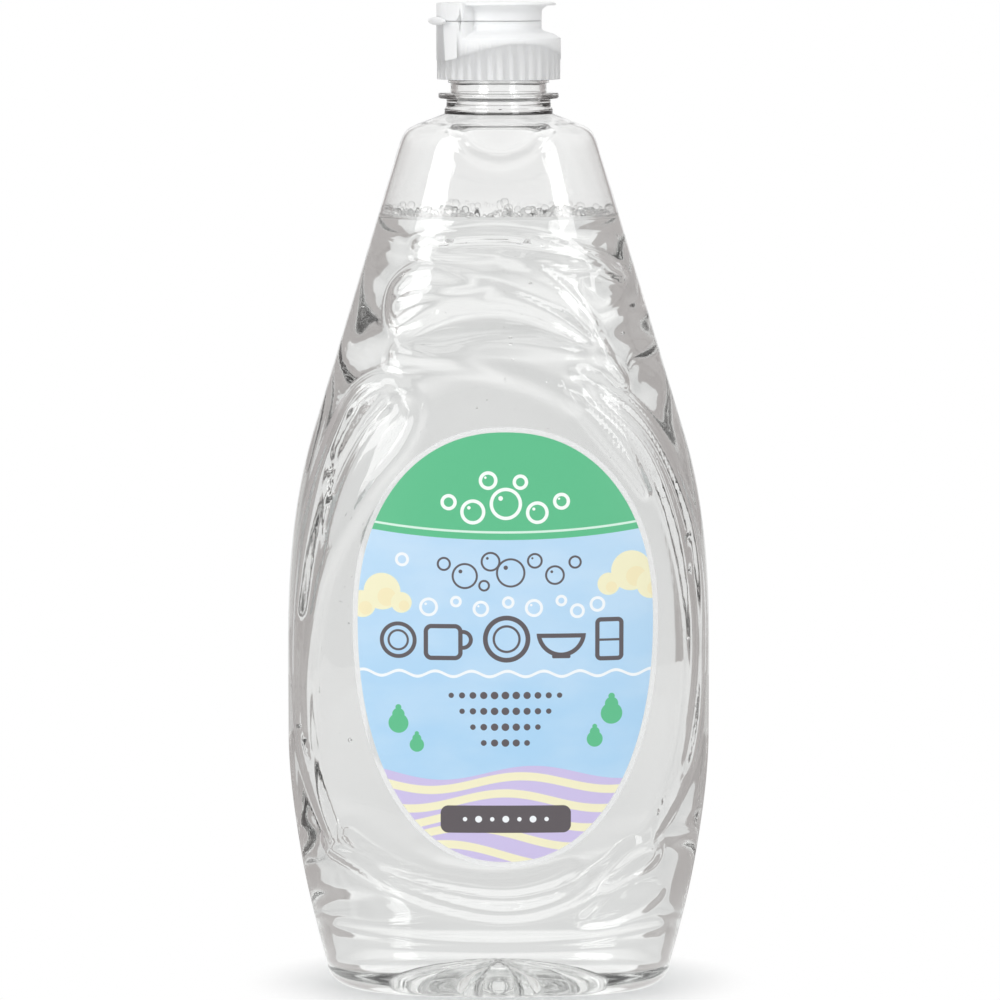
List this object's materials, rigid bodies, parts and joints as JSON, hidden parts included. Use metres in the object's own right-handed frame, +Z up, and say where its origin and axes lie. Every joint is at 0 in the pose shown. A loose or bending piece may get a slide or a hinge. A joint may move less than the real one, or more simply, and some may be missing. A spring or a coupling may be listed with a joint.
{
  "type": "dish soap bottle",
  "caption": "Clear squeeze bottle of dish soap with moulded leaf relief, film labels and a white screw-on flip-top dispensing cap.",
  "frame": {"origin": "centre of the foot, on the surface the bottle stands on", "axes": "+Z up along the neck, the wide side along X, the front label faces -Y"},
  "size_m": [0.1072, 0.051, 0.25],
  "materials": {
    "clear_bottle": "clear glossy blow-moulded plastic",
    "clear_liquid": "clear thick liquid",
    "label_print": "printed film, satin",
    "label_back": "white printed film, satin",
    "white_closure": "moulded white plastic, satin",
    "liner_foam": "closed-cell foam"
  },
  "bodies": {
    "bottle": {"bottle": "clear_bottle", "dish_liquid": "clear_liquid", "front_label": "label_print", "back_label": "label_back"},
    "liner": {"seal_liner": "liner_foam"},
    "cap": {"cap_base": "white_closure"},
    "lid": {"flip_lid": "white_closure"}
  },
  "joints": [
    {"name": "cap_rise", "type": "slide", "parent": "bottle", "child": "liner", "axis": [0, 0, 1], "range_m": [0, 0.0064]},
    {"name": "cap_turn", "type": "hinge", "parent": "liner", "child": "cap", "pos_m": [0, 0, 0.236], "axis": [0, 0, 1], "range_deg": [0, 540]},
    {"name": "lid_hinge", "type": "hinge", "parent": "cap", "child": "lid", "pos_m": [-0.01543, -0.00385, 0.2453], "axis": [0.2419, -0.9703, 0], "range_deg": [0, 130]}
  ],
  "couplings": [
    {"joint": "cap_rise", "follows": "cap_turn", "m_per_rad": 0.0006737}
  ]
}
